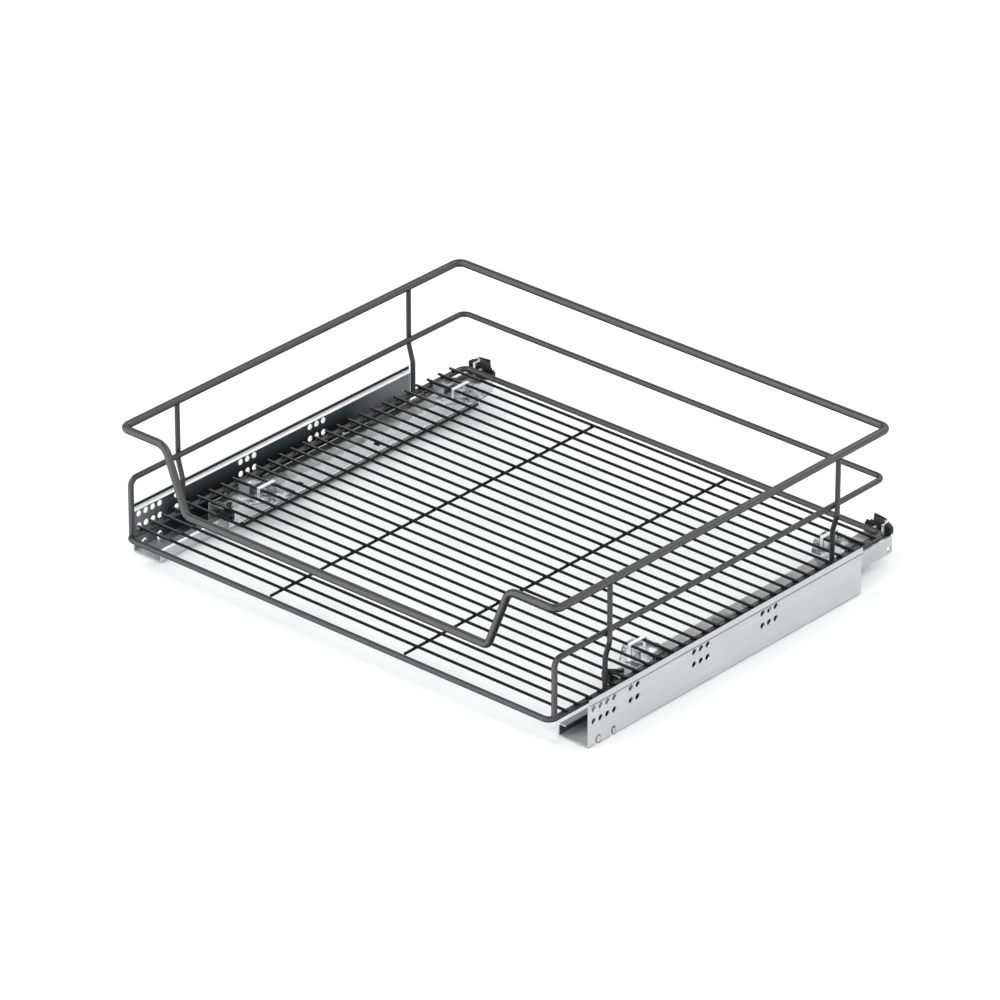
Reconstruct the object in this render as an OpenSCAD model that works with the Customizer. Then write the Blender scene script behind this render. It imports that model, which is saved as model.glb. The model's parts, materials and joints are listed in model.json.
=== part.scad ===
// Wire pull-out basket on a pair of concealed full-extension runners.
// +X is the right-hand side seen from the front, -Y is the front, +Z is up.
// The basket's own frame has its zero at the middle of the base frame wire;
// place() moves everything so that the origin is the bottom centre of the unit.

/* [Cabinet] */
// Clear width between the cabinet sides, outside to outside of the profiles
cabinet_w = 568; // [520:1:600]
// Rear end of the fixed cabinet profile, ahead of the rear base bar's centreline
cabinet_short = 57.6; // [45:0.1:70]
// Front end of the cabinet profile, behind the centreline of the front base bar
cabinet_set = 28.7; // [20:0.1:36]
// How far the drawer slides out
travel = 380; // [300:1:380]

/* [Basket] */
// Cabinet side to the centreline of the base frame's side bar
side_gap = 22.6; // [22.2:0.1:24]
// Depth between the centrelines of the front and rear base bars
basket_d = 473; // [465:0.5:490]
// Height of the top rail's centreline above the base frame's
top_h = 114; // [95:1:150]
// How far the top rail stands outside the base frame, each side
top_out = 5.1; // [3.5:0.1:6.5]
// How far the top rail's front and rear stand inside the base frame's
top_set = 1.8; // [0.5:0.1:4]
// Height of the middle rail's centreline above the base frame's
mid_h = 60; // [50:1:66]
// Middle rail's rear bar, ahead of the base frame's rear bar
mid_rear_set = 1; // [0:0.1:2]
// Middle rail's front legs, behind the base frame's front bar
mid_front_set = 6; // [5:0.1:9]
// Posts, from the middle of the depth to each side
post_y = 161.2; // [120:0.1:190]
// Height of the middle of the posts' inward jog
jog_h = 43; // [36:0.5:45]
// Height over which the posts jog
jog_rise = 18; // [14:0.5:20]

/* [Front dip] */
// Height of the dipped part of the top rail above the base frame
dip_h = 49; // [35:1:70]
// Half width between the legs of the dip, at the height of the top rail
dip_top = 211.5; // [170:0.5:220]
// Half width between the legs of the dip, at the height of the dip
dip_low = 185.9; // [150:0.5:200]
// Bend radius at the top of the dip's legs
dip_top_r = 14; // [10:1:20]
// Bend radius at the foot of the dip's legs
dip_low_r = 8; // [6:1:14]

/* [Wires] */
// Top rail wire
top_wire = 7.6; // [6:0.1:9]
// Middle rail wire
mid_wire = 5.6; // [4:0.1:6.5]
// Base frame wire
base_wire = 5.8; // [4.5:0.1:6.2]
// Post wire
post_wire = 5; // [4:0.1:6]
// Floor cross wire
floor_wire = 2.8; // [2.2:0.1:3.2]
// Stiffener wire under the floor
stiff_wire = 2.8; // [2.2:0.1:3.2]
// Corner radius of the top rail
top_corner_r = 8.5; // [6:0.5:14]
// Corner radius of the middle rail
mid_corner_r = 8; // [6:0.5:14]
// Corner radius of the base frame
base_corner_r = 8; // [7:0.5:14]
// How deep a welded wire sinks into its neighbour
weld = 0.25; // [0.1:0.05:0.4]

/* [Floor] */
// Number of floor wires
floor_count = 28; // [24:1:28]
// First floor wire, behind the front base bar
floor_first = 18.6; // [16:0.1:20]
// Last floor wire, ahead of the rear base bar
floor_last = 17; // [15:0.1:20]
// How far the floor wires stand past the side bars' centrelines
floor_over = 4.5; // [3.5:0.1:7]
// Stiffener wires, from the middle of the width
stiff_x = 83; // [60:1:120]
// How far a stiffener stands past the first floor wire
stiff_over = 14.1; // [8:0.1:14.5]

/* [Runner sections] */
// Cabinet side to the runner's centreline
runner_in = 34.9; // [34.6:0.1:35.2]
// Sheet of the cabinet profile
cabinet_t = 1.5; // [1.2:0.1:1.6]
// Sheet of the drawer profile and the intermediate profile
rail_t = 1.2; // [1:0.1:1.3]
// Top of the cabinet profile's outer wall, above the base frame's centreline
wall_top = 16.6; // [14:0.1:20]
// Underside of the cabinet profile, below the base frame's centreline
profile_drop = 32.75; // [32.5:0.05:34]
// Height of the joggled lip along the top of the outer wall
lip_h = 6; // [4:0.1:7]
// How far the lip stands outside the wall
lip_out = 1.5; // [1:0.1:1.6]
// Drawer profile, outside width
drawer_w = 27.6; // [27.4:0.1:27.8]
// Drawer profile, height of its walls
drawer_h = 18.5; // [18.2:0.1:18.7]
// Top of the drawer profile, below the base frame's centreline
drawer_drop = 6; // [5.9:0.05:6.1]
// Front end of the drawer profile, behind the front base bar's centreline
drawer_set = 110.5; // [96:0.5:112]
// Rear end of the drawer profile, behind the rear base bar's centreline
drawer_past = 13; // [11:0.1:16]
// Intermediate profile, outside width
inter_w = 19.6; // [19.4:0.1:19.8]
// Front end of the intermediate profile, behind the drawer profile's
inter_lag = 19; // [16:0.5:30]
// Rear end of the intermediate profile, ahead of the drawer profile's
inter_set = 22.5; // [18:0.5:30]
// Width of the rail flange on the cabinet profile's inner wall
flange_w = 9.1; // [8.6:0.1:9.4]

/* [Rollers] */
// Diameter of the lower rollers
lower_roller = 6; // [5.9:0.05:6.1]
// Diameter of the upper rollers
upper_roller = 4; // [3.9:0.05:4.05]
// Length of the lower roller cage
lower_len = 170; // [150:1:172]
// Length of the upper roller cage
upper_len = 140; // [120:1:144]
// Running gap on each side of a roller
roll_gap = 0.15; // [0.1:0.01:0.18]
// Running gap beside a cage
cage_gap = 0.3; // [0.2:0.05:0.35]
// Rollers in each cage
roller_count = 5; // [3:1:6]

/* [Wall holes] */
// Diameter of the screw holes
hole_d = 6.2; // [4:0.1:6.6]
// Pitch of the holes along a group
hole_pitch = 9.4; // [8.8:0.1:9.6]
// Spacing of the two rows
row_pitch = 12.7; // [11:0.1:14]
// Height of the upper row above the base frame's centreline
row_top = 5.4; // [4:0.1:6]
// Diameter of the holes in the base
base_hole_d = 5; // [4:0.1:6]
// First hole of the front group, behind the profile's front end
group_a = 7; // [6:0.1:8]
// First hole of the second group
group_b = 58; // [55:0.1:60]
// First hole of the third group
group_c = 146.3; // [140:0.1:150]
// Third group to fourth group
group_pitch = 97; // [90:0.5:100]

/* [Clip plates] */
// Sheet of the clip plates
clip_t = 1.5; // [1.2:0.1:1.6]
// Length of a clip plate along the runner
clip_len = 48; // [42:1:56]
// How far a clip plate reaches inside the drawer profile
clip_reach = 23.8; // [18:0.1:28]
// Least gap between the release lever and the front clip plate
clip_gap = 5; // [3:0.5:9]

/* [Soft close] */
// Rear end of the damper housing, ahead of the cabinet profile's
housing_set = 14.7; // [12:0.1:18]
// Width of the damper housing
housing_w = 14; // [13.6:0.1:14.2]
// Stroke of the pull-in catch
catch_stroke = 40; // [30:1:44]
// Diameter of the damper cylinder
damper_d = 9; // [8.6:0.1:9.2]

/* [Hidden] */
$fn = 40;

wire_colour = "#4b4b4d";
steel_colour = "#c3c8cc";
black_colour = "#1f2022";

// Basket frame
bar_x = cabinet_w / 2 - side_gap;
bar_y = basket_d / 2;
top_x = bar_x + top_out;
top_y = bar_y - top_set;
floor_z = (base_wire + floor_wire) / 2 - weld;
stiff_z = floor_z - (floor_wire + stiff_wire) / 2 + weld;
floor_y0 = -bar_y + floor_first;
floor_pitch = (basket_d - floor_first - floor_last) / (floor_count - 1);
function wire_y(k) = floor_y0 + k * floor_pitch;

// Runner frame; x is taken on the right-hand side
run_x = cabinet_w / 2 - runner_in;
wall_x = cabinet_w / 2 - lip_out;
base_z = -profile_drop;
base_top = base_z + cabinet_t;
cab_front = -bar_y + cabinet_set;
cab_rear = bar_y - cabinet_short;
cabinet_len = cab_rear - cab_front;
flange_in = run_x - 2.8;
flange_out = flange_in + flange_w;
flange_mid = (flange_in + flange_out) / 2;

draw_top = -drawer_drop;
draw_half = drawer_w / 2;
draw_in = draw_half - rail_t;
draw_low = draw_top - drawer_h;
draw_rear = bar_y + drawer_past;
draw_front = -bar_y + drawer_set;
lip_reach = 2.4;

inter_half = inter_w / 2;
inter_in = inter_half - rail_t;
inter_top = draw_top - rail_t - upper_roller - 2 * roll_gap;
lower_mid = inter_top - rail_t - lower_roller / 2 - roll_gap;
flange_top = lower_mid - lower_roller / 2 - roll_gap;
inter_rear = draw_rear - inter_set;
inter_front = draw_front + inter_lag;
inter_len = inter_rear - inter_front;
inter_lip_z = flange_top - cabinet_t - 2.5;
bead_r = 1;
bead_z = draw_low + rail_t + bead_r + 1.2;

lower_front = inter_rear - travel / 4 - 2 - lower_len;
lower_roller_len = 7.6;
upper_mid = draw_top - rail_t - upper_roller / 2 - roll_gap;
upper_front = draw_rear - travel / 4 - 4.5 - upper_len;
upper_roller_len = 12;
pocket_gap = 0.2;

// Front and rear clip plates, by the floor wire ahead of their middle
lever_y = draw_front - 3;
lever_arm = 15.5;
clip_start = lever_y + lever_arm + clip_gap + clip_len / 2;
clip_front = ceil((clip_start - floor_y0) / floor_pitch - 0.5);
clip_rear = floor_count - 3;
function clip_mid(k) = wire_y(k) + floor_pitch / 2;

// Soft-close unit, between the drawer profile and the outer wall
housing_x = wall_x - cabinet_t - 1.5 - housing_w / 2;
housing_top = -12.5;
housing_rear = cab_rear - housing_set;
damper_z = base_top + 1.5 + damper_d / 2;
damper_len = 78;
housing_end = 2;
damper_rear = housing_rear - housing_end;
damper_front = damper_rear - damper_len;
rod_d = 3;
catch_y = damper_front - 8;
catch_len = 20;
catch_hole = 6;
housing_front = catch_y - catch_len - catch_stroke - housing_end - 0.5;
pin_z = -9.8;
pin_d = 4;
pin_y = catch_y - 8.3;

// Overall box, for the origin
front_out = bar_y + base_wire / 2;
hook_t = 1.5;
rear_out = draw_rear + hook_t;
mid_span = (rear_out - front_out) / 2;

module place() {
    translate([0, -mid_span, profile_drop])
        children();
}

// Right-hand runner parts are drawn at +X; side(-1) gives the mirrored left one
module side(s) {
    if (s > 0) children();
    else mirror([1, 0, 0]) children();
}

// Wire forming
function unit(v) = v / norm(v);
function clamp1(c) = min(1, max(-1, c));
function turn(a, b) = acos(clamp1(a * b));
function loss(r, a, b) = r * tan(turn(a, b) / 2);

module rod(p, q, d) {
    v = q - p;
    len = norm(v);
    tilt = acos(clamp1(v[2] / len));
    swing = atan2(v[1], v[0]);
    translate(p)
        rotate([0, tilt, swing])
            cylinder(h = len, d = d);
}

// Bend that leaves point p along a and ends along b
module elbow(p, a, b, r, d) {
    n = unit(b - a * (a * b));
    c = p + n * r;
    ax = cross(-n, a);
    multmatrix([[-n[0], a[0], ax[0], c[0]],
        [-n[1], a[1], ax[1], c[1]],
        [-n[2], a[2], ax[2], c[2]],
        [0, 0, 0, 1]])
        rotate_extrude(angle = turn(a, b))
            translate([r, 0])
                circle(d = d);
}

// Wire along points, with a bend radius at each corner
module wire(pts, rads, d, closed = false) {
    n = len(pts);
    last = closed ? n - 1 : n - 2;
    for (i = [0 : last]) {
        p = pts[i];
        q = pts[(i + 1) % n];
        e = unit(q - p);
        before = unit(p - pts[(i + n - 1) % n]);
        after = unit(pts[(i + 2) % n] - q);
        cut_p = (closed || i > 0) ? loss(rads[i], before, e) : 0;
        cut_q = (closed || i < n - 2) ? loss(rads[(i + 1) % n], e, after) : 0;
        rod(p + e * cut_p, q - e * cut_q, d);
        if (cut_q > 0)
            elbow(q - e * cut_q, e, after, rads[(i + 1) % n], d);
    }
}

// Sheet forming: a path of flats and bends in the x-z plane, run along y
module flat(p, q, t, y0, y1) {
    v = q - p;
    translate([p[0], y1, p[1]])
        rotate([90, 0, 0])
            rotate([0, 0, atan2(v[1], v[0])])
                translate([0, -t / 2, 0])
                    cube([norm(v), t, y1 - y0]);
}

module bend(p, a, b, r, t, y0, y1) {
    s = a[0] * b[1] - a[1] * b[0] > 0 ? 1 : -1;
    n = s * [-a[1], a[0]];
    c = p + n * r;
    ang = acos(clamp1(a * b));
    start = atan2(-n[1], -n[0]) - (s < 0 ? ang : 0);
    translate([c[0], y1, c[1]])
        rotate([90, 0, 0])
            rotate([0, 0, start])
                rotate_extrude(angle = ang)
                    translate([r - t / 2, 0])
                        square([t, y1 - y0]);
}

module sheet(pts, r, t, y0, y1) {
    n = len(pts);
    for (i = [0 : n - 2]) {
        e = unit(pts[i + 1] - pts[i]);
        before = i > 0 ? unit(pts[i] - pts[i - 1]) : e;
        after = i < n - 2 ? unit(pts[i + 2] - pts[i + 1]) : e;
        cut_p = loss(r, before, e);
        cut_q = loss(r, e, after);
        flat(pts[i] + e * cut_p, pts[i + 1] - e * cut_q, t, y0, y1);
        if (cut_q > 0)
            bend(pts[i + 1] - e * cut_q, e, after, r, t, y0, y1);
    }
}

// Box between two opposite corners
module block(a, b) {
    translate(a)
        cube(b - a);
}

// Basket wirework
module top_rail() {
    r = [top_corner_r, top_corner_r, top_corner_r, top_corner_r,
        dip_top_r, dip_low_r, dip_low_r, dip_top_r];
    pts = [[-top_x, -top_y, top_h], [-top_x, top_y, top_h],
        [top_x, top_y, top_h], [top_x, -top_y, top_h],
        [dip_top, -top_y, top_h], [dip_low, -top_y, dip_h],
        [-dip_low, -top_y, dip_h], [-dip_top, -top_y, top_h]];
    color(wire_colour)
        wire(pts, r, top_wire, true);
}

module mid_rail() {
    foot = base_wire / 2 - weld;
    x = bar_x;
    y0 = -bar_y + mid_front_set;
    y1 = bar_y - mid_rear_set;
    pts = [[-x, y0, foot], [-x, y0, mid_h], [-x, y1, mid_h],
        [x, y1, mid_h], [x, y0, mid_h], [x, y0, foot]];
    color(wire_colour)
        wire(pts, [0, mid_corner_r, mid_corner_r, mid_corner_r, mid_corner_r, 0], mid_wire);
}

module base_frame() {
    pts = [[-bar_x, -bar_y, 0], [-bar_x, bar_y, 0], [bar_x, bar_y, 0], [bar_x, -bar_y, 0]];
    r = base_corner_r;
    color(wire_colour)
        wire(pts, [r, r, r, r], base_wire, true);
}

// Post under the top rail, outside the middle rail and jogged in to the side bar
module post(s, y) {
    swell = 0.1;
    head = top_h - top_wire / 2 + weld;
    foot = base_wire / 2 - weld;
    pts = [[top_x, y, head], [top_x, y, jog_h + jog_rise / 2],
        [bar_x, y, jog_h - jog_rise / 2], [bar_x, y, foot]];
    color(wire_colour)
        side(s) {
            for (i = [0 : 2])
                rod(pts[i], pts[i + 1], post_wire);
            for (i = [1, 2])
                translate(pts[i])
                    sphere(d = post_wire + swell);
        }
}

module floor_wires() {
    half = bar_x + floor_over;
    color(wire_colour)
        for (k = [0 : floor_count - 1])
            rod([-half, wire_y(k), floor_z], [half, wire_y(k), floor_z], floor_wire);
}

module stiffener_wires() {
    color(wire_colour)
        for (x = [-stiff_x, stiff_x])
            rod([x, wire_y(0) - stiff_over, stiff_z],
                [x, wire_y(floor_count - 1) + 2, stiff_z], stiff_wire);
}

// Clip plate: flat saddle on the drawer profile, a raised bridge under two
// floor wires and a strap over them
strap_t = 1.2;
strap_w = 3.6;
strap_x = run_x - draw_half - 5;
bridge_x = run_x + 1;
bridge_w = 14;
contact = 0.1;

module hat(x, w, half, top, t) {
    y_at = [-half, half];
    low = draw_top + clip_t;
    block([x - w / 2, y_at[0], top - t], [x + w / 2, y_at[1], top]);
    for (y = y_at) {
        y0 = y < 0 ? y : y - t;
        block([x - w / 2, y0, low], [x + w / 2, y0 + t, top]);
    }
}

module clip_plate(s, k) {
    half = clip_len / 2;
    x_in = run_x - draw_half - clip_reach;
    x_out = run_x + draw_half;
    chamfer = 17;
    nose = 4;
    color(steel_colour)
        side(s)
            translate([0, clip_mid(k), 0]) {
                difference() {
                    translate([0, 0, draw_top])
                        linear_extrude(clip_t)
                            polygon([[x_out, -half], [x_out, half], [x_in + nose, half],
                                [x_in, half - nose], [x_in, -half + chamfer + 9],
                                [x_in + chamfer, -half]]);
                    translate([run_x - 6, half - 11, draw_top - 1])
                        cube([10, 6, clip_t + 2]);
                    for (y = [-6, 6])
                        translate([x_in + 7, y, draw_top - 1])
                            cylinder(h = clip_t + 2, d = 3.4);
                    for (y = rivet_ys)
                        translate([rivet_x, y, draw_top - 1])
                            cylinder(h = clip_t + 2, d = rivet_d);
                }
                hat(bridge_x, bridge_w, floor_pitch / 2 + 2,
                    floor_z - floor_wire / 2 - contact, clip_t);
                hat(strap_x, strap_w, (floor_pitch + floor_wire) / 2 + strap_t + 0.3,
                    floor_z + floor_wire / 2 + contact + strap_t, strap_t);
            }
}

rivet_d = 3.2;
rivet_x = run_x + 9;
rivet_ys = [-clip_len / 2 + 5, clip_len / 2 - 3];
module clip_rivets(s) {
    color("silver")
        side(s)
            for (k = [clip_front, clip_rear])
                for (y = rivet_ys)
                    translate([rivet_x, clip_mid(k) + y, draw_top - rail_t]) {
                        cylinder(h = rail_t + clip_t, d = rivet_d);
                        translate([0, 0, rail_t + clip_t])
                            cylinder(h = 1, d = 5.4);
                    }
}

lance_from = 53;
lance_past = 115;
// Drawer profile: inverted channel with in-turned lips
module drawer_profile(s) {
    h = draw_half - rail_t / 2;
    z1 = draw_top - rail_t / 2;
    z0 = draw_low + rail_t / 2;
    e = draw_in - lip_reach;
    pts = [[run_x - e, z0], [run_x - h, z0], [run_x - h, z1],
        [run_x + h, z1], [run_x + h, z0], [run_x + e, z0]];
    color(steel_colour)
        side(s)
            difference() {
                sheet(pts, rail_t, rail_t, draw_front, draw_rear);
                block([run_x - 3, draw_front + 3, draw_top - 3], [run_x + 8, draw_front + 8, draw_top + 1]);
                for (k = [clip_front, clip_rear])
                    for (y = rivet_ys)
                        translate([rivet_x, clip_mid(k) + y, draw_top - 3])
                            cylinder(h = 4, d = rivet_d);
                translate([run_x + draw_half - 3, draw_rear - 7.4, draw_top - 15.2])
                    cube([4, 5, 5]);
                translate([run_x - draw_half - 1, draw_front + 23, draw_low + 4])
                    rotate([0, 90, 0])
                        cylinder(h = 4, d = 3);
                for (at_y = [clip_mid(clip_front) + lance_from, clip_mid(clip_rear) - lance_past])
                    translate([run_x - draw_half - 1, at_y, draw_top - 9])
                        rotate([-35, 0, 0])
                            block([0, -5, -1.2], [4, 5, 1.2]);
                translate([run_x + draw_half - 3, pin_y, pin_z])
                    rotate([0, 90, 0])
                        cylinder(h = 4, d = pin_d);
            }
}

// Pin on the drawer profile that works the pull-in catch
module trigger_pin(s) {
    tip = housing_x;
    color("silver")
        side(s)
            translate([run_x + draw_in, pin_y, pin_z])
                rotate([0, 90, 0]) {
                    cylinder(h = tip - run_x - draw_in, d = pin_d);
                    translate([0, 0, rail_t])
                        cylinder(h = 1, d = 6);
                }
}

// Release lever: handle before the inner front corner of the drawer profile,
// with a claw that lies on the profile's top
lever_z = draw_top - 4;
module release_lever(s) {
    x0 = run_x - draw_half - 5.7;
    x1 = run_x - draw_half - 0.3;
    x2 = run_x - draw_half + 7.3;
    y0 = draw_front - 6;
    y1 = draw_front - 1.6;
    claw_z = draw_top + 0.3;
    claw_x = run_x - 7.4;
    tip_y = lever_y + lever_arm;
    color(black_colour)
        side(s)
            difference() {
                union() {
                    translate([0, 0, draw_top - 7.5])
                        linear_extrude(8)
                            polygon([[x1, draw_front + 1], [x1, y1], [x2, y1], [x2, y0 + 1],
                                [x2 - 1, y0], [x0 + 3, y0], [x0, y0 + 3], [x0, draw_front + 1]]);
                    translate([0, 0, claw_z])
                        linear_extrude(2.2)
                            polygon([[x1 - 3, y1 - 1], [x2 - 3, y1 - 1], [x2 - 1, draw_front + 4],
                                [claw_x + 3.5, draw_front + 6], [claw_x + 4, tip_y - 3],
                                [claw_x + 1.5, tip_y], [claw_x + 0.5, tip_y - 4],
                                [claw_x - 2, draw_front + 7], [x1 - 3, draw_front + 1]]);
                }
                translate([x0 - 1, lever_y, lever_z])
                    rotate([0, 90, 0])
                        cylinder(h = 4, d = 3);
            }
}

// Rear bracket: moulded foot across the end of the drawer profile
bracket_d = 4.5;
bracket_front = draw_rear - bracket_d;
rear_pin_d = 5;
rear_pin_x = run_x - 2.3;
pin_axis_z = draw_top + 4.7;
module rear_bracket(s) {
    outer = run_x + draw_half + 1;
    inner = run_x - draw_half - 2.5;
    color(black_colour)
        side(s)
            difference() {
                union() {
                    block([run_x - 12, bracket_front, draw_top], [run_x + 8, draw_rear, draw_top + 8.5]);
                    block([inner, bracket_front, draw_top + 1], [run_x - 11, draw_rear, draw_top + 5.5]);
                    translate([inner + 1.6, bracket_front + bracket_d / 2, draw_top + 5])
                        cylinder(h = 2.6, d = 3);
                    translate([0, draw_rear, 0])
                        rotate([90, 0, 0])
                            linear_extrude(bracket_d)
                                polygon([[run_x + 7.6, draw_top], [outer - 3, draw_top],
                                    [outer, draw_top + 2.5], [outer, draw_top + 9],
                                    [outer - 2, draw_top + 10.6], [run_x + 7.6, draw_top + 11.6]]);
                }
                translate([rear_pin_x, draw_rear + 1, pin_axis_z])
                    rotate([90, 0, 0])
                        cylinder(h = 20, d = rear_pin_d);
                translate([outer - 3.6, draw_rear + 1, draw_top + 5.5])
                    rotate([90, 0, 0])
                        cylinder(h = 20, d = 2.6);
            }
}

// Steel hook plate behind the bracket, with a strap turned forward over it
module rear_hook(s) {
    low = inter_top + 1.3;
    strap0 = run_x + 5;
    strap1 = run_x + 7.4;
    strap_y = bracket_front - hook_t;
    over = draw_top + 9;
    color(steel_colour)
        side(s)
            difference() {
                union() {
                    translate([0, draw_rear + hook_t, 0])
                        rotate([90, 0, 0])
                            linear_extrude(hook_t)
                                polygon([[run_x - 7, low], [run_x + 7, low],
                                    [run_x + 10, low + 6], [run_x + 12, draw_top + 10],
                                    [run_x + 6, draw_top + 14.5], [run_x - 8.6, draw_top + 15.8],
                                    [run_x - 10.5, low + 6]]);
                    block([strap0, strap_y, over], [strap1, draw_rear + hook_t, over + hook_t]);
                    block([strap0, strap_y, draw_top], [strap1, bracket_front, over + hook_t]);
                }
                translate([rear_pin_x, draw_rear + 5, pin_axis_z])
                    rotate([90, 0, 0])
                        cylinder(h = 10, d = rear_pin_d);
            }
}

// Locating pin that stands forward to the basket's rear bar
module rear_pin(s) {
    from = bar_y + base_wire / 2 + 0.3;
    color("#b9a08c")
        side(s)
            translate([rear_pin_x, draw_rear + hook_t, pin_axis_z])
                rotate([90, 0, 0])
                    cylinder(h = draw_rear + hook_t - from, d = rear_pin_d);
}

// Upper cage and rollers, between the drawer profile and the intermediate profile
module upper_cage(s) {
    x = draw_in - cage_gap;
    plate = 2.4;
    leg = draw_in - inter_half - 2 * cage_gap;
    y1 = upper_front + upper_len;
    color(black_colour)
        side(s)
            difference() {
                union() {
                    block([run_x - x, upper_front, upper_mid - plate / 2],
                        [run_x + x, y1, upper_mid + plate / 2]);
                    for (m = [-1, 1]) {
                        x0 = m < 0 ? run_x - x : run_x + x - leg;
                        block([x0, upper_front, inter_top - 7], [x0 + leg, y1, upper_mid + plate / 2]);
                    }
                }
                for (i = [0 : roller_count - 1])
                    translate([run_x, roller_at(i, upper_front, upper_len), upper_mid])
                        cube([upper_roller_len + 2 * pocket_gap, upper_roller + 2 * pocket_gap, 6],
                            center = true);
            }
}

function roller_at(i, start, length) = start + length * (i + 0.5) / roller_count;

module upper_rollers(s) {
    color("silver")
        side(s)
            for (i = [0 : roller_count - 1])
                translate([run_x - upper_roller_len / 2, roller_at(i, upper_front, upper_len), upper_mid])
                    rotate([0, 90, 0])
                        cylinder(h = upper_roller_len, d = upper_roller);
}

// Intermediate profile: inverted channel, inner wall longer, outer wall with a lip
module intermediate_profile(s) {
    h = inter_half - rail_t / 2;
    z1 = inter_top - rail_t / 2;
    pts = [[run_x - h, strip_low + 1.4], [run_x - h, z1], [run_x + h, z1],
        [run_x + h, inter_lip_z], [run_x + h - 4, inter_lip_z]];
    color(steel_colour)
        side(s) {
            sheet(pts, rail_t, rail_t, inter_front, inter_rear);
            for (m = [-1, 1])
                translate([run_x + m * inter_half, inter_rear, bead_z])
                    rotate([90, 0, 0])
                        cylinder(h = inter_len, r = bead_r);
        }
}

// Plastic guide strip gripping the lower edge of the inner wall
strip_low = draw_low - 4.9;
module guide_strip(s) {
    wall0 = run_x - inter_half;
    wall1 = wall0 + rail_t;
    top = draw_low - 0.5;
    color(black_colour)
        side(s)
            translate([0, inter_rear, 0])
                rotate([90, 0, 0])
                    linear_extrude(inter_len)
                        polygon([[run_x - draw_half - 0.2, strip_low], [wall1 + 1.4, strip_low],
                            [wall1 + 1.4, top - 1], [wall1, top - 1], [wall1, strip_low + 1.4],
                            [wall0, strip_low + 1.4], [wall0, top], [run_x - draw_half - 0.2, top]]);
}

// Lower cage and rollers, between the rail flange and the intermediate profile
module lower_cage(s) {
    x0 = run_x - inter_in + cage_gap;
    x1 = run_x + inter_in - cage_gap;
    plate = 3.2;
    y1 = lower_front + lower_len;
    color(black_colour)
        side(s)
            difference() {
                union() {
                    block([x0, lower_front, lower_mid - plate / 2], [x1, y1, lower_mid + plate / 2]);
                    block([flange_out + cage_gap, lower_front, flange_top - cabinet_t - 0.8],
                        [x1, y1, lower_mid + plate / 2]);
                    block([flange_in - cage_gap - 1.8, lower_front, flange_top - 5],
                        [flange_in - cage_gap, y1, lower_mid + plate / 2]);
                }
                for (i = [0 : roller_count - 1])
                    translate([flange_mid, roller_at(i, lower_front, lower_len), lower_mid])
                        cube([lower_roller_len + 2 * pocket_gap, lower_roller + 2 * pocket_gap, 8],
                            center = true);
            }
}

module lower_rollers(s) {
    color("silver")
        side(s)
            for (i = [0 : roller_count - 1])
                translate([flange_mid - lower_roller_len / 2,
                    roller_at(i, lower_front, lower_len), lower_mid])
                    rotate([0, 90, 0])
                        cylinder(h = lower_roller_len, d = lower_roller);
}

// Cabinet profile: tall drilled wall, base, and inner wall with the rail flange
base_holes = [70, 195];
hole_groups = [[group_a, 4], [group_b, 2], [group_c, 3], [group_c + group_pitch, 3]];
module wall_holes() {
    for (g = hole_groups)
        for (i = [0 : g[1] - 1])
            for (row = [0, 1])
                translate([wall_x - 5, cab_front + g[0] + i * hole_pitch, row_top - row * row_pitch])
                    rotate([0, 90, 0])
                        cylinder(h = 10, d = hole_d);
}

module cabinet_profile(s) {
    t = cabinet_t;
    w = wall_x - t / 2;
    b = base_z + t / 2;
    joggle = lip_out + 0.1;
    lip_low = wall_top - lip_h;
    seam = -10;
    pts = [[w, seam], [w, b], [flange_in + t / 2, b],
        [flange_in + t / 2, flange_top - t / 2], [flange_out, flange_top - t / 2]];
    wall = [[wall_x, seam], [wall_x, lip_low - joggle], [wall_x + lip_out, lip_low],
        [wall_x + lip_out, wall_top], [wall_x + lip_out - t, wall_top],
        [wall_x + lip_out - t, lip_low + 0.6], [wall_x - t, lip_low - joggle + 0.6], [wall_x - t, seam]];
    notch = 9;
    color(steel_colour)
        side(s)
            difference() {
                union() {
                    sheet(pts, t * 0.8, t, cab_front, cab_rear);
                    translate([0, cab_rear, 0])
                        rotate([90, 0, 0])
                            linear_extrude(cabinet_len)
                                polygon(wall);
                }
                wall_holes();
                for (n = [[9.5, 17], [31, 37.5]]) {
                    block([wall_x - 4, cab_front + n[0], base_z - 1],
                        [wall_x + 1, cab_front + n[1], base_z + notch - 3]);
                    translate([wall_x - 4, cab_front + (n[0] + n[1]) / 2, base_z + notch - 3])
                        rotate([0, 90, 0])
                            cylinder(h = 5, d = n[1] - n[0]);
                }
                for (y = base_holes)
                    translate([run_x + 22, cab_front + y, base_z - 1])
                        cylinder(h = 4, d = base_hole_d);
            }
}

// Soft-close unit
module damper_housing(s) {
    t = 1.5;
    x0 = housing_x - housing_w / 2;
    x1 = housing_x + housing_w / 2;
    slot = 6;
    color(black_colour)
        side(s)
            difference() {
                union() {
                    block([x0, housing_front, base_top], [x1, housing_rear, housing_top]);
                    for (y = [housing_front + 20, housing_rear - 32])
                        block([x1, y, base_top + 3], [wall_x - cabinet_t, y + 12, housing_top]);
                }
                block([x0 + t, housing_front + housing_end, base_top + t],
                    [x1 - t, housing_rear - housing_end, housing_top - t]);
                block([housing_x - slot / 2, housing_front + housing_end, housing_top - t - 1],
                    [housing_x + slot / 2, damper_front, housing_top + 1]);
            }
}

module damper_cylinder(s) {
    bore = damper_d - 2;
    color("silver")
        side(s)
            translate([housing_x, damper_rear, damper_z])
                rotate([90, 0, 0])
                    difference() {
                        cylinder(h = damper_len, d = damper_d);
                        translate([0, 0, 3])
                            cylinder(h = damper_len - 7, d = bore);
                        translate([0, 0, 10])
                            cylinder(h = damper_len, d = rod_d + 0.3);
                    }
}

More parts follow.
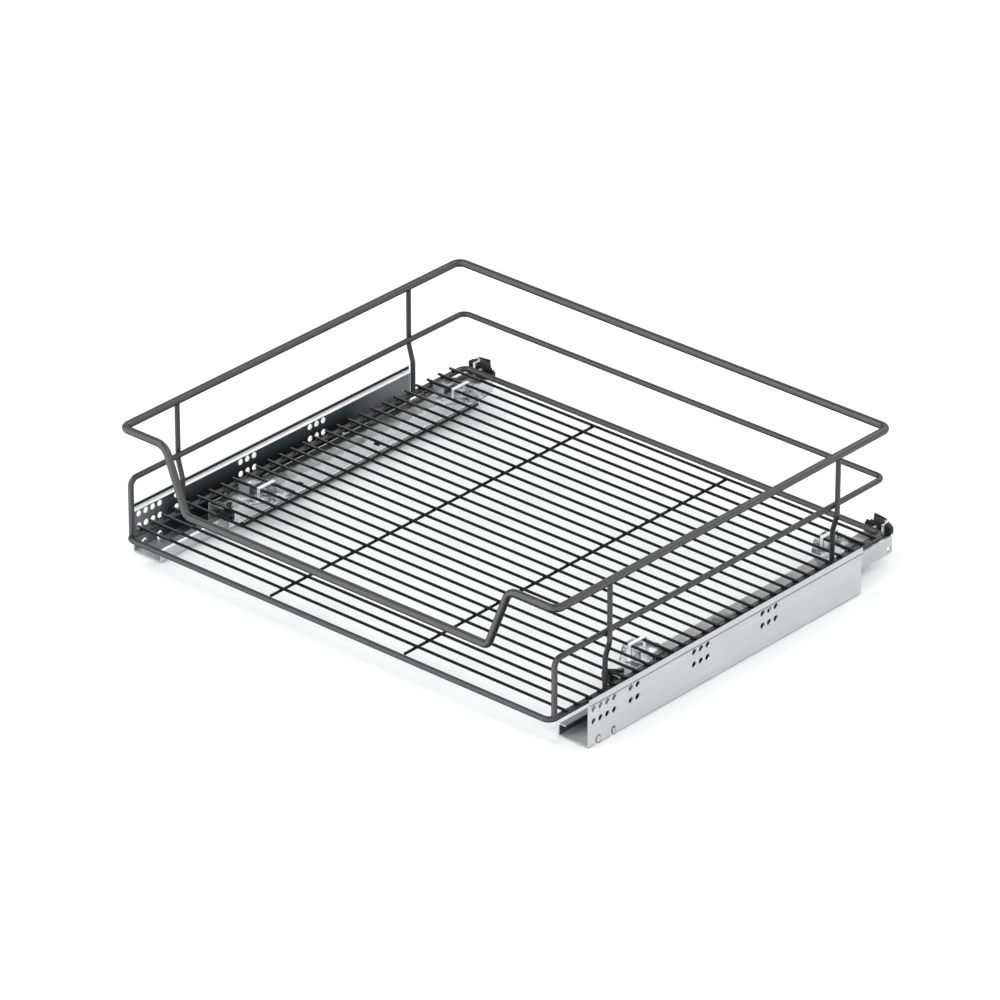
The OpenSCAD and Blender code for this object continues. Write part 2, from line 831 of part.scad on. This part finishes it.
module piston_rod(s) {
    reach = damper_rear - 3 - 8;
    color("silver")
        side(s)
            translate([housing_x, reach, damper_z])
                rotate([90, 0, 0]) {
                    cylinder(h = reach - catch_y + catch_hole, d = rod_d);
                    cylinder(h = 6, d = damper_d - 2 - 0.3);
                }
}

// Pull-in catch: slider in the housing with a finger behind the trigger pin
module catch(s) {
    w = 10;
    color(black_colour)
        side(s)
            difference() {
                union() {
                    block([housing_x - w / 2, catch_y - catch_len, base_top + 1.8],
                        [housing_x + w / 2, catch_y, housing_top - 1.8]);
                    block([housing_x - 2.7, catch_y - 6, housing_top - 2],
                        [housing_x + 2.7, catch_y, pin_z + 1.6]);
                    block([housing_x - 2.7, catch_y - catch_len, housing_top - 2],
                        [housing_x + 2.7, catch_y - catch_len + 5, pin_z - pin_d / 2 - 0.4]);
                }
                translate([housing_x, catch_y - catch_hole, damper_z])
                    rotate([-90, 0, 0])
                        cylinder(h = 10, d = rod_d);
            }
}

place() top_rail();
place() mid_rail();
place() base_frame();
place() post(-1, -post_y);  // post_front_left
place() post(1, -post_y);  // post_front_right
place() post(-1, post_y);  // post_rear_left
place() post(1, post_y);  // post_rear_right
place() floor_wires();
place() stiffener_wires();
place() clip_plate(-1, clip_front);  // clip_plate_front_left
place() clip_plate(1, clip_front);  // clip_plate_front_right
place() clip_plate(-1, clip_rear);  // clip_plate_rear_left
place() clip_plate(1, clip_rear);  // clip_plate_rear_right
place() clip_rivets(-1);  // clip_rivets_left
place() clip_rivets(1);  // clip_rivets_right
place() drawer_profile(-1);  // drawer_profile_left
place() drawer_profile(1);  // drawer_profile_right
place() trigger_pin(-1);  // trigger_pin_left
place() trigger_pin(1);  // trigger_pin_right
place() release_lever(-1);  // release_lever_left
place() release_lever(1);  // release_lever_right
place() rear_bracket(-1);  // rear_bracket_left
place() rear_bracket(1);  // rear_bracket_right
place() rear_hook(-1);  // rear_hook_left
place() rear_hook(1);  // rear_hook_right
place() rear_pin(-1);  // rear_pin_left
place() rear_pin(1);  // rear_pin_right
place() upper_cage(-1);  // upper_cage_left
place() upper_cage(1);  // upper_cage_right
place() upper_rollers(-1);  // upper_rollers_left
place() upper_rollers(1);  // upper_rollers_right
place() intermediate_profile(-1);  // intermediate_profile_left
place() intermediate_profile(1);  // intermediate_profile_right
place() guide_strip(-1);  // guide_strip_left
place() guide_strip(1);  // guide_strip_right
place() lower_cage(-1);  // lower_cage_left
place() lower_cage(1);  // lower_cage_right
place() lower_rollers(-1);  // lower_rollers_left
place() lower_rollers(1);  // lower_rollers_right
place() cabinet_profile(-1);  // cabinet_profile_left
place() cabinet_profile(1);  // cabinet_profile_right
place() damper_housing(-1);  // damper_housing_left
place() damper_housing(1);  // damper_housing_right
place() damper_cylinder(-1);  // damper_cylinder_left
place() damper_cylinder(1);  // damper_cylinder_right
place() piston_rod(-1);  // piston_rod_left
place() piston_rod(1);  // piston_rod_right
place() catch(-1);  // catch_left
place() catch(1);  // catch_right
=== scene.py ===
import bpy, bmesh, json, math
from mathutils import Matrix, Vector


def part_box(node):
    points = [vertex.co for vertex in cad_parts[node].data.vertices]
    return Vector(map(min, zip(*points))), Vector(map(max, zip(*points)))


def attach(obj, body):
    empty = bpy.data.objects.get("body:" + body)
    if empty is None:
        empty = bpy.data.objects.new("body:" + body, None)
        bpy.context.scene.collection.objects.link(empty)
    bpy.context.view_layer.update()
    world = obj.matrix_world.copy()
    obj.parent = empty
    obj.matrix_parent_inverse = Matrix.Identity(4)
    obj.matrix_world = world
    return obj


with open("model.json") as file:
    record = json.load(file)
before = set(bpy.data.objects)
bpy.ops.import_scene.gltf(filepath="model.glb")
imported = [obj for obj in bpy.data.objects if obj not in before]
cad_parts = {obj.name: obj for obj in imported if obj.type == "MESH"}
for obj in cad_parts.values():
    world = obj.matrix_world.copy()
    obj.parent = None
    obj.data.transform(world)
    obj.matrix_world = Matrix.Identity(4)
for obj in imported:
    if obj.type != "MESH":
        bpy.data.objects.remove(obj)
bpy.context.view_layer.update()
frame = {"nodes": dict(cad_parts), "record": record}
nodes = frame["nodes"]
scene = bpy.context.scene

# Lengths are in metres. X runs to the right, Y to the back, Z up.
X, Y, Z = 0, 1, 2
SIDES = (("left", -1), ("right", 1))


# ---------------------------------------------------------------- camera
CAMERA_AT = (4.01257, -4.55817, 3.26960)
CAMERA_TILT, CAMERA_TURN = 62.2073, 41.4411     # degrees
CAMERA_LENS = 265.2                             # mm

cam_data = bpy.data.cameras.new("camera")
cam_data.sensor_width = 36
cam_data.lens = CAMERA_LENS
cam_data.clip_start = 0.1
cam_data.clip_end = 100
cam = bpy.data.objects.new("camera", cam_data)
cam.location = CAMERA_AT
cam.rotation_euler = (math.radians(CAMERA_TILT), 0, math.radians(CAMERA_TURN))
scene.collection.objects.link(cam)
scene.camera = cam
scene.view_settings.view_transform = "Standard"


# ---------------------------------------------------------------- materials
class Mat:
    """A material's node tree, with its textures in the object's coordinates."""

    def __init__(self, name):
        self.material = bpy.data.materials.new(name)
        self.material.use_nodes = True
        self.tree = self.material.node_tree
        self.shader = self.tree.nodes["Principled BSDF"]
        self.coords = self.node("TexCoord").outputs["Object"]
        self.normal = None

    def feed(self, socket, value):
        """Sets a socket to a number or an RGB colour, or links another socket to it."""
        if isinstance(value, (int, float)):
            socket.default_value = value
        elif isinstance(value, tuple):
            socket.default_value = (*value, 1)
        else:
            self.tree.links.new(value, socket)

    def node(self, kind, **values):
        n = self.tree.nodes.new("ShaderNode" + kind)
        for name, value in values.items():
            self.feed(n.inputs[name.replace("_", " ")], value)
        return n

    def set(self, **values):
        for name, value in values.items():
            self.feed(self.shader.inputs[name.replace("_", " ")], value)

    def stretched(self, scale):
        n = self.node("Mapping", Vector=self.coords)
        n.inputs["Scale"].default_value = scale
        return n.outputs["Vector"]

    def noise(self, scale, detail, rough=0.55, at=None):
        return self.node("TexNoise", Scale=scale, Detail=detail, Roughness=rough,
                         Vector=at or self.coords).outputs["Fac"]

    def ramp(self, fac, *stops):
        """Colour ramp between two stops of (position, colour)."""
        n = self.node("ValToRGB", Fac=fac)
        for element, (position, colour) in zip(n.color_ramp.elements, stops):
            element.position, element.color = position, (*colour, 1)
        return n.outputs["Color"]

    def mix(self, fac, a, b):
        n = self.node("Mix")
        n.data_type = "RGBA"
        for index, value in ((0, fac), (6, a), (7, b)):
            self.feed(n.inputs[index], value)
        return n.outputs[2]

    def span(self, fac, lo, hi, a=0.3, b=0.7):
        """Maps a to b of the factor onto lo to hi."""
        return self.node("MapRange", From_Min=a, From_Max=b, To_Min=lo, To_Max=hi,
                         Value=fac).outputs["Result"]

    def times(self, *facs):
        out = facs[0]
        for fac in facs[1:]:
            n = self.node("Math")
            n.operation = "MULTIPLY"
            for socket, value in zip(n.inputs, (out, fac)):
                self.feed(socket, value)
            out = n.outputs[0]
        return out

    def mask(self, *masks):
        return self.times(*(mask(self) for mask in masks))

    def zoned(self, base, zones):
        """Lays the colour of each zone over the base; a zone is a colour and its masks."""
        for colour, *masks in zones:
            base = self.mix(self.mask(*masks), base, colour)
        return base

    def bump(self, height, strength, distance):
        """Adds a layer of relief to those before it."""
        n = self.node("Bump", Strength=strength, Distance=distance, Height=height)
        if self.normal is not None:
            self.feed(n.inputs["Normal"], self.normal)
        self.normal = n.outputs["Normal"]
        self.set(Normal=self.normal)


def facing(axis, sign, lo=0.55, hi=0.80):
    """Mask of the faces that look along an axis of the object."""
    def mask(m):
        n = m.node("SeparateXYZ", Vector=m.node("TexCoord").outputs["Normal"])
        return m.span(n.outputs[axis], 0, 1, lo * sign, hi * sign)
    return mask


def beyond(axis, lo, hi):
    """Mask that goes from 0 at lo to 1 at hi along an axis; lo may be above hi."""
    def mask(m):
        n = m.node("SeparateXYZ", Vector=m.coords)
        return m.span(n.outputs[axis], 0, 1, lo, hi)
    return mask


def reflection_spots(scale, lo, hi):
    """Mask of irregular spots of painted reflection, as bent sheet mirrors its surroundings."""
    return lambda m: m.span(m.noise(scale, 1), 0, 1, lo, hi)


def grey(value):
    return (value, value, value)


def shade(colour, factor):
    return tuple(min(1, factor * c) for c in colour)


EDGE_SHINE = 0.12                   # specular that is left on a wire's edges, which carry painted shade
TOP_SHADE_SHARE, EDGE_SHADE_SHARE = 0.60, 0.4     # shares of the lower tone for the painted shade on top and along the edges
SHEET_DULL, ZONE_LIGHT = 0.92, 1.2  # how far a sheet's tones are mottled


def powder_coat(name, lo, hi, speck, specular=0.5, rough=(0.30, 0.46), front=1.5, side=1.2,
                zones=()):
    """Coated wire with painted light: painted shade on top, underneath, behind and on the left,
    painted highlights in front and on the right.

    lo and hi are the coat's two tones, and front and side say how much lighter than hi the
    painted highlights get.
    """
    m = Mat(name)
    # Masks of the faces turned down, back and to the left: they get painted shade and dulled
    # specular.
    edges = [m.mask(mask) for mask in (facing(Z, -1, -0.02, 0.32), facing(Y, 1, 0.20, 0.50),
                                       facing(X, -1, 0.25, 0.55))]
    dulled = [m.span(edge, 1, EDGE_SHINE, 0, 1) for edge in edges]
    m.set(Metallic=0.0, Specular_IOR_Level=m.times(specular, *dulled))
    base = m.ramp(m.noise(22, 3), (0.3, lo), (0.7, hi))
    base = m.mix(m.ramp(m.noise(1500, 2), (0.62, grey(0)), (0.78, grey(1))), base, speck)
    # Painted light: the top is painted darker, the front and the right-facing sides lighter.
    base = m.zoned(base, ((shade(lo, TOP_SHADE_SHARE), facing(Z, 1, 0.55, 0.90)),
                          (shade(hi, front), facing(Y, -1, 0.60, 0.90)),
                          (shade(hi, side), facing(X, 1, 0.60, 0.90))))
    # Painted shade along the faces turned down, back and to the left.
    for edge in edges:
        base = m.mix(edge, base, shade(lo, EDGE_SHADE_SHARE))
    m.set(Base_Color=m.zoned(base, zones), Roughness=m.span(m.noise(60, 3), *rough))
    m.bump(m.noise(750, 2), 0.35, 0.00008)
    m.bump(m.noise(180, 2), 0.25, 0.00010)
    return m.material


def zinc_sheet(name, lo, hi, metallic, rough, zones=(), grain=1.0):
    """Zinc-plated sheet, streaked along Y; the zones are its painted shade, painted reflections
    and painted highlights.
    """
    m = Mat(name)
    streak = m.noise(1, 3, 0.55, m.stretched((420, 12, 420)))
    patch = m.noise(28, 4)
    base = m.mix(m.span(streak, 0, 1), lo, hi)
    base = m.mix(m.span(patch, 0.0, 0.35), base, shade(lo, SHEET_DULL))
    # Each zone's painted light or shade, mottled by the patch noise.
    for colour, *masks in zones:
        mottled = m.mix(m.span(patch, 0, 1), colour, shade(colour, ZONE_LIGHT))
        base = m.mix(m.mask(*masks), base, mottled)
    m.set(Metallic=metallic, Base_Color=base,
          Roughness=m.span(m.noise(1, 2, 0.5, m.stretched((70, 14, 70))), *rough))
    m.bump(m.noise(90, 2), 0.06 * grain, 0.00003)
    return m.material


def cabinet_steel(side, sg):
    """Cabinet profile: painted shade and dark painted reflection inside the tall wall and in the
    channel, painted highlights on the lip and the flange's rim.
    """
    lo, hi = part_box("cabinet_profile_" + side)
    top = hi[2]
    rim_x = lo[0] if sg > 0 else -hi[0]
    split_x, blur = 0.2775 * sg, 0.0008 * sg        # between the channel and the tall wall

    inner_side, outer_side, upper_side = facing(X, -sg), facing(X, sg), facing(Z, 1)
    on_wall = inner_side, beyond(X, split_x - blur, split_x + blur)
    in_channel = beyond(X, split_x + blur, split_x - blur)
    # along the profile
    front_end, rear_part = beyond(Y, -0.165, -0.200), beyond(Y, 0.080, 0.165)
    all_but_rear = beyond(Y, 0.180, 0.080)
    between_ends = beyond(Y, -0.200, -0.150), beyond(Y, 0.165, 0.135)
    # up the wall
    foot_shadow_line = beyond(Z, 0.0016, 0.0011)
    upper_wall = beyond(Z, top - 0.022, top - 0.011)
    under_lip = beyond(Z, top - 0.0066, top - 0.0072)
    lip, crease = beyond(Z, top - 0.0074, top - 0.0070), beyond(Z, top - 0.0034, top - 0.0028)
    line_at_lip = beyond(Z, top - 0.0067, top - 0.0063), beyond(Z, top - 0.0046, top - 0.0050)
    # the channel's base, its flange and the flange's rim
    base, over_base = beyond(Z, 0.006, 0.004), beyond(Z, 0.006, 0.008)
    up_to_flange = beyond(Z, 0.016, 0.014)
    rim = (beyond(X, sg * (rim_x + 0.0022), sg * (rim_x + 0.0016)), beyond(Z, 0.0118, 0.0124))

    zones = (
        # Painted shade and dark painted reflection inside the tall wall, painted lighter towards
        # its top, its rear and its front end.
        ((0.022, 0.029, 0.033), *on_wall, under_lip, all_but_rear),
        ((0.066, 0.078, 0.085), *on_wall, under_lip, all_but_rear, upper_wall),
        ((0.24, 0.27, 0.28), *on_wall, under_lip, rear_part),
        ((0.20, 0.21, 0.215), *on_wall, under_lip, front_end),
        # Painted highlight on the lip, painted shade in the crease.
        (grey(0.98), *on_wall, lip),
        ((0.028, 0.030, 0.032), *on_wall, crease),
        # Painted shade along the outer crease line, along the foot and on the channel's inner
        # wall.
        ((0.15, 0.15, 0.155), outer_side, *line_at_lip),
        (grey(0.17), outer_side, foot_shadow_line),
        ((0.055, 0.060, 0.063), outer_side, in_channel),
        # Painted shade on the channel's base, a painted grey on the flange's top, a painted
        # highlight on its rim.
        ((0.050, 0.050, 0.048), upper_side, base, *between_ends),
        ((0.26, 0.265, 0.27), upper_side, over_base, up_to_flange),
        (grey(0.98), *rim, up_to_flange),
    )
    return zinc_sheet("cabinet_steel_" + side, (0.50, 0.51, 0.515), (0.57, 0.58, 0.585),
                      0.45, (0.34, 0.48), zones)


def drawer_steel(side, sg):
    """Drawer profile: bright, with a painted shadow band along the outer part of its top, painted
    shade on its outer wall and painted highlights along its edges.
    """
    lo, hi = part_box("drawer_profile_" + side)
    edge_x = hi[0] if sg > 0 else -lo[0]

    inner_side, outer_side, upper_side = facing(X, -sg), facing(X, sg), facing(Z, 1)
    shadow_band = beyond(X, sg * (edge_x - 0.0135), sg * (edge_x - 0.0105))
    outer_edge_highlight = (beyond(X, sg * (edge_x - 0.0027), sg * (edge_x - 0.0023)),
                  beyond(Z, hi[2] - 0.0020, hi[2] - 0.0016))
    lower_edge_highlight = beyond(Z, lo[2] + 0.0028, lo[2] + 0.0020)
    all_but_rear, rear_end = beyond(Y, 0.172, 0.110), beyond(Y, 0.170, 0.178)
    reflection_spots_on_top = reflection_spots(46, 0.60, 0.66), beyond(Z, 0.022, 0.024)

    zones = (
        # Painted shade: the top and the outer wall are painted darker than the inner wall, with a
        # painted shadow band along the outer part of the top.
        ((0.43, 0.43, 0.425), upper_side),
        ((0.060, 0.063, 0.065), upper_side, shadow_band),
        ((0.43, 0.44, 0.445), outer_side),
        # Painted shade on the outer wall inside the cabinet profile.
        ((0.17, 0.175, 0.18), outer_side, all_but_rear),
        # Painted highlights along the outer top edge, dimmer at the rear end, and along the inner
        # wall's lower edge.
        ((0.90, 0.90, 0.88), *outer_edge_highlight),
        ((0.50, 0.50, 0.49), *outer_edge_highlight, rear_end),
        ((0.95, 0.95, 0.94), inner_side, lower_edge_highlight),
        # Painted reflection spots on the top.
        ((0.20, 0.205, 0.205), upper_side, *reflection_spots_on_top),
    )
    return zinc_sheet("drawer_steel_" + side, (0.58, 0.59, 0.595), (0.68, 0.69, 0.695),
                      0.55, (0.26, 0.34), zones, 0.4)


def black_plastic(name, zones=()):
    m = Mat(name)
    base = m.ramp(m.noise(40, 3), (0.3, (0.008, 0.008, 0.009)), (0.7, (0.016, 0.016, 0.017)))
    m.set(Specular_IOR_Level=0.22, Base_Color=m.zoned(base, zones),
          Roughness=m.span(m.noise(90, 2), 0.42, 0.58))
    m.bump(m.noise(1500, 2), 0.30, 0.00005)
    return m.material


def bright_metal(name, lo, hi, rough):
    m = Mat(name)
    brushed = m.noise(1, 3, 0.5, m.stretched((1400, 1400, 1400)))
    m.set(Metallic=1.0, Base_Color=m.mix(m.span(m.noise(60, 3), 0, 1), lo, hi),
          Roughness=m.span(brushed, *rough))
    m.bump(brushed, 0.10, 0.00003)
    return m.material


# Tones of the middle and base wires and of the posts: lower, upper and speck.
WIRE_TONES = (0.021, 0.021, 0.022), (0.031, 0.030, 0.032), (0.055, 0.055, 0.057)
# Painted reflection: the floor wires' ends over the runners are painted lighter, as if they
# mirrored the zinc under them, more so on the left.
LEFT_ENDS_REFLECTION, RIGHT_ENDS_REFLECTION = (0.075, 0.074, 0.071), grey(0.018)
# Distances from the middle: where the floor wires' ends lie over the runners and get their
# painted reflection, where the clip plates' tops turn to painted shade, and the two sides of the
# painted highlight line on the rear hook.
WIRE_ENDS_X = 0.2235, 0.2265
PLATE_SHADE_X = 0.2500, 0.2535
HOOK_HIGHLIGHT_X = (0.2532, 0.2538), (0.2575, 0.2569)
# Heights: the bright tops of the plates' straps, the black tip of the hook, and the guide
# strip's light upper band.
STRAP_TOP = beyond(Z, 0.0380, 0.0388)
HOOK_TIP = beyond(Z, 0.0402, 0.0410)
STRIP_TOP = beyond(Z, 0.0067, 0.0071)
UPWARD, FORWARD, RIGHTWARD = facing(Z, 1), facing(Y, -1), facing(X, 1)


def past_x(sg, ends):
    return beyond(X, *(sg * x for x in ends))


# front and side set how much lighter the painted highlights on the front and right-facing faces
# are.
RAIL = powder_coat("powder_coat_rail", (0.034, 0.034, 0.035), (0.048, 0.047, 0.048), grey(0.080),
                   front=2.0, side=1.1)
WIRE = powder_coat("powder_coat", *WIRE_TONES, front=2.6, side=1.2)
POST = powder_coat("powder_coat_post", *WIRE_TONES, front=1.3, side=1.1)
# Floor and stiffener wires, with painted reflection on the floor wires' ends over the runners.
FLOOR = powder_coat("powder_coat_floor", grey(0.0035), grey(0.006), grey(0.014), 0.12,
                    (0.42, 0.56), zones=(
                        (LEFT_ENDS_REFLECTION, UPWARD, past_x(-1, WIRE_ENDS_X)),
                        (RIGHT_ENDS_REFLECTION, UPWARD, past_x(1, WIRE_ENDS_X))))
CABINET = {side: cabinet_steel(side, sg) for side, sg in SIDES}
DRAWER = {side: drawer_steel(side, sg) for side, sg in SIDES}
# Clip plates, with light painted into the colour: a lighter top with dark and bright painted
# reflection spots, a painted highlight on the front faces, painted shade on the right-facing
# faces and on the tops next to the walls, and bright strap tops.
STEEL = zinc_sheet("clip_steel", (0.40, 0.405, 0.42), (0.50, 0.505, 0.52), 0.6, (0.26, 0.34), (
    ((0.47, 0.475, 0.49), UPWARD),
    ((0.15, 0.155, 0.17), UPWARD, reflection_spots(95, 0.54, 0.58)),
    ((0.86, 0.85, 0.85), UPWARD, reflection_spots(95, 0.44, 0.40)),
    ((0.66, 0.665, 0.67), FORWARD),
    ((0.24, 0.24, 0.245), RIGHTWARD),
    (grey(0.14), UPWARD, past_x(1, PLATE_SHADE_X)),
    (grey(0.14), UPWARD, past_x(-1, PLATE_SHADE_X)),
    ((0.85, 0.85, 0.84), STRAP_TOP)), 0.4)
# Rear hooks: a painted highlight line down each hook, and a black tip.
HOOK = zinc_sheet("hook_steel", (0.13, 0.15, 0.17), (0.20, 0.22, 0.24), 0.7, (0.26, 0.38), (
    (grey(0.80), *(past_x(1, ends) for ends in HOOK_HIGHLIGHT_X)),
    (grey(0.80), *(past_x(-1, ends) for ends in HOOK_HIGHLIGHT_X)),
    ((0.012, 0.012, 0.013), HOOK_TIP)), 0.5)
INNER = zinc_sheet("inner_rail_steel", (0.50, 0.53, 0.56), (0.62, 0.65, 0.68), 0.85, (0.26, 0.40))
BLACK = black_plastic("black_plastic")
STRIP = black_plastic("guide_strip_plastic", (((0.34, 0.34, 0.335), STRIP_TOP),))
ZINC = bright_metal("bright_zinc", (0.62, 0.63, 0.64), (0.78, 0.79, 0.80), (0.18, 0.32))
TAN = bright_metal("passivated_pin", (0.46, 0.36, 0.31), (0.60, 0.49, 0.43), (0.30, 0.44))

BY_SLOT = {"wire": WIRE, "runner_steel": STEEL, "bright_steel": ZINC,
           "black_plastic": BLACK, "pin_steel": TAN}
BY_NAME = {"top_rail": RAIL, "post_front": POST, "post_rear": POST,
           "floor_wires": FLOOR, "stiffener_wires": FLOOR,
           "intermediate_profile": INNER, "rear_hook": HOOK, "guide_strip": STRIP}
slot_of = {s["node"]: s["material_slot"] for s in frame["record"]["subparts"]}


def finish_of(name):
    stem, _, side = name.rpartition("_")
    if stem == "cabinet_profile":
        return CABINET[side]
    if stem == "drawer_profile":
        return DRAWER[side]
    return BY_NAME.get(name) or BY_NAME.get(stem) or BY_SLOT[slot_of[name]]


# ---------------------------------------------------------------- dressing of the CAD meshes
SEAM = 2e-6                                 # vertices this close are one
SHEET_EDGE, TONGUE_EDGE = 0.00016, 0.00012  # rounding of cut edges
ROUNDED_FROM, SPLIT_FROM = 35, 50           # degrees between two faces


def paint(o, material):
    o.data.materials.clear()
    o.data.materials.append(material)


def smooth(o):
    o.data.polygons.foreach_set("use_smooth", [True] * len(o.data.polygons))


def edge_round(o, width):
    b = o.modifiers.new("edge_round", "BEVEL")
    b.width = width
    b.segments = 2
    b.limit_method = "ANGLE"
    b.angle_limit = math.radians(ROUNDED_FROM)
    b.use_clamp_overlap = True
    w = o.modifiers.new("flat_faces", "WEIGHTED_NORMAL")
    w.keep_sharp = True


def dress(o, round_edges):
    """Joins the faces of a CAD mesh, then rounds or splits its sharp edges."""
    smooth(o)
    weld = o.modifiers.new("weld", "WELD")
    weld.merge_threshold = SEAM
    if round_edges:
        edge_round(o, SHEET_EDGE)
    else:
        e = o.modifiers.new("sharp_ends", "EDGE_SPLIT")
        e.split_angle = math.radians(SPLIT_FROM)


for name, o in nodes.items():
    paint(o, finish_of(name))
    dress(o, slot_of[name] != "wire")


# ---------------------------------------------------------------- pieces
FLOOR_WIRES = 28
WIRE_R, BAR_R = 0.0014, 0.0029      # floor and stiffener wires; base frame
# Weld beads at the base frame and at the stiffeners: distance from the floor wire's axis,
# height over its underside, half sizes, segments and rings.
BAR_BEAD = 0.0013, 0.0002, (0.0013, 0.0012, 0.0007), 10, 6
STIFFENER_BEAD = 0.0012, 0.0001, (0.0010, 0.0011, 0.0006), 8, 5

NOTCHES = (0.0095, 0.0170), (0.0310, 0.0375)    # from the wall's front end
AHEAD, BEHIND = 0.0030, 0.0004                  # room left by the tongue in its notch
WALL_SHEET = 0.0015
TONGUE_X = 0.0002, 0.0013                       # its faces, from the wall's inner face
FOOT_X = 0.0008, 0.0043                         # ends of the strip that carries it
UNDERSIDE, FOOT_TOP, ROUND_Z = 0.0001, 0.0012, 0.0052


def mesh_piece(name, bm, mat, body):
    me = bpy.data.meshes.new(name)
    bm.to_mesh(me)
    bm.free()
    o = bpy.data.objects.new(name, me)
    scene.collection.objects.link(o)
    paint(o, mat)
    smooth(o)
    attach(o, body)
    return o


def bead(bm, at, size, segments, rings):
    """Ball of radius 1, scaled to half sizes and moved."""
    made = bmesh.ops.create_uvsphere(bm, u_segments=segments, v_segments=rings, radius=1)["verts"]
    for v in made:
        v.co = Vector((v.co.x * size[0], v.co.y * size[1], v.co.z * size[2])) + Vector(at)


def weld_beads():
    """Small fillets of weld metal where the floor wires cross the bars."""
    bm = bmesh.new()
    lo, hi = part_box("base_frame")
    flo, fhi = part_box("floor_wires")
    slo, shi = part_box("stiffener_wires")
    crossings = (((lo[0] + BAR_R, hi[0] - BAR_R), BAR_BEAD),
                 ((slo[0] + WIRE_R, shi[0] - WIRE_R), STIFFENER_BEAD))
    first, last = flo[1] + WIRE_R, fhi[1] - WIRE_R
    for k in range(FLOOR_WIRES):
        y = first + (last - first) * k / (FLOOR_WIRES - 1)
        for bars, (off, up, size, segments, rings) in crossings:
            for x in bars:
                for s in (-1, 1):
                    bead(bm, (x, y + s * off, flo[2] + up), size, segments, rings)
    mesh_piece("weld_beads", bm, FLOOR, "drawer")


def prism(bm, ring, x0, x1):
    """Closed solid from a ring of (y, z) points between two x positions."""
    outer = [bm.verts.new((x0, y, z)) for y, z in ring]
    inner = [bm.verts.new((x1, y, z)) for y, z in ring]
    bm.faces.new(outer)
    bm.faces.new(inner[::-1])
    for i in range(len(ring)):
        j = (i + 1) % len(ring)
        bm.faces.new((outer[i], inner[i], inner[j], outer[j]))


def foot_tabs():
    """Rounded tongues of the base turned up in the two notches at the foot of each tall wall."""
    for side, sg in SIDES:
        lo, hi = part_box("cabinet_profile_" + side)
        wall = (hi[0] if sg > 0 else lo[0]) - sg * WALL_SHEET
        bm = bmesh.new()
        for a, b in NOTCHES:
            y0, y1 = lo[1] + a + AHEAD, lo[1] + b - BEHIND
            mid, half = (y0 + y1) / 2, (y1 - y0) / 2
            turns = [math.radians(t) for t in range(0, 181, 15)]
            arc = [(mid + half * math.cos(t), ROUND_Z + half * math.sin(t)) for t in turns]
            foot = [(y1, UNDERSIDE), (y1, FOOT_TOP), (y0, FOOT_TOP), (y0, UNDERSIDE)]
            prism(bm, [foot[0], *arc, foot[3]], *(wall - sg * x for x in TONGUE_X))
            prism(bm, foot, *(wall - sg * x for x in FOOT_X))
        bmesh.ops.recalc_face_normals(bm, faces=bm.faces)
        o = mesh_piece("foot_tabs_" + side, bm, CABINET[side], "cabinet")
        edge_round(o, TONGUE_EDGE)


weld_beads()
foot_tabs()


# ---------------------------------------------------------------- stage
FLOOR_HALF, FLOOR_Z = 20, -0.0002
FLOOR_WHITES = grey(0.90), grey(0.92)
LAMP_TARGET = (0, 0, 0.05)
# Name, place, diameter and watts.
LAMPS = (("key", (-1.6, -2.4, 3.2), 2.2, 70),
         ("fill", (3.2, -1.2, 2.2), 2.4, 45),
         ("back", (0.4, 3.4, 2.6), 2.6, 50))
SKY, SKY_STRENGTH = (0.98, 0.99, 1.0), 0.9


def stage_floor():
    bm = bmesh.new()
    bmesh.ops.create_grid(bm, x_segments=8, y_segments=8, size=FLOOR_HALF)
    me = bpy.data.meshes.new("floor")
    bm.to_mesh(me)
    bm.free()
    o = bpy.data.objects.new("floor", me)
    o.location = (0, 0, FLOOR_Z)
    scene.collection.objects.link(o)
    m = Mat("floor_white")
    base = m.ramp(m.noise(2.0, 2), *zip((0.2, 0.8), FLOOR_WHITES))
    m.set(Roughness=0.9, Specular_IOR_Level=0.1, Base_Color=base)
    paint(o, m.material)


def area(name, at, diameter, power):
    d = bpy.data.lights.new(name, "AREA")
    d.shape = "DISK"
    d.size = diameter
    d.energy = power
    o = bpy.data.objects.new(name, d)
    o.location = at
    o.rotation_euler = (Vector(LAMP_TARGET) - Vector(at)).to_track_quat("-Z", "Y").to_euler()
    scene.collection.objects.link(o)


stage_floor()
for lamp in LAMPS:
    area(*lamp)
world = bpy.data.worlds.new("world")
world.use_nodes = True
sky = world.node_tree.nodes["Background"]
sky.inputs["Color"].default_value = (*SKY, 1)
sky.inputs["Strength"].default_value = SKY_STRENGTH
scene.world = world
